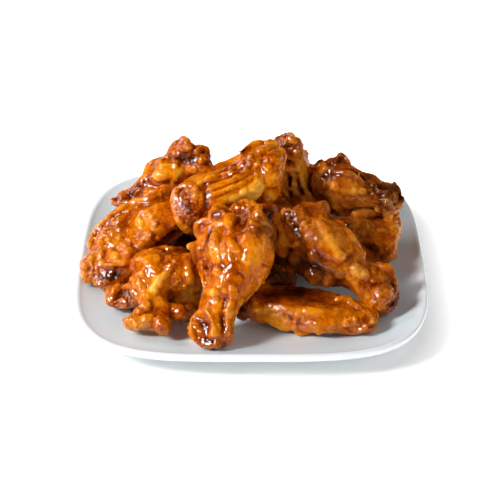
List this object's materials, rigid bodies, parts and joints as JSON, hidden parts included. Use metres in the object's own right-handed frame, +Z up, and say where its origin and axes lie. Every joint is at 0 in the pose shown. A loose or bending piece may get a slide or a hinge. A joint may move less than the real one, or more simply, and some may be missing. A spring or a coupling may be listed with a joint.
{
  "type": "chicken wings serving",
  "caption": "Heap of glazed chicken wings, drumettes and flats leaning on each other, served on a square white plate with rounded corners and a low upturned rim.",
  "frame": {"origin": "on the table, under the middle of the plate", "axes": "+Z up; looking along +Y the front drumette is nearest, with its knuckle towards the viewer, and +X is to the right"},
  "size_m": [0.23, 0.23, 0.0887],
  "materials": {
    "porcelain": "glazed white porcelain",
    "glazed_skin": "sticky glossy glaze over browned skin"
  },
  "bodies": {
    "root": {"plate": "porcelain", "front_drumette": "glazed_skin", "right_drumette": "glazed_skin", "top_flat": "glazed_skin", "left_flat": "glazed_skin", "back_left_drumette": "glazed_skin", "right_back_drumette": "glazed_skin", "upright_drumette": "glazed_skin", "front_left_drumette": "glazed_skin", "front_flat": "glazed_skin", "right_lower_flat": "glazed_skin", "middle_back_flat": "glazed_skin", "middle_drumette": "glazed_skin", "back_drumette": "glazed_skin", "back_left_lower_flat": "glazed_skin"}
  },
  "joints": []
}
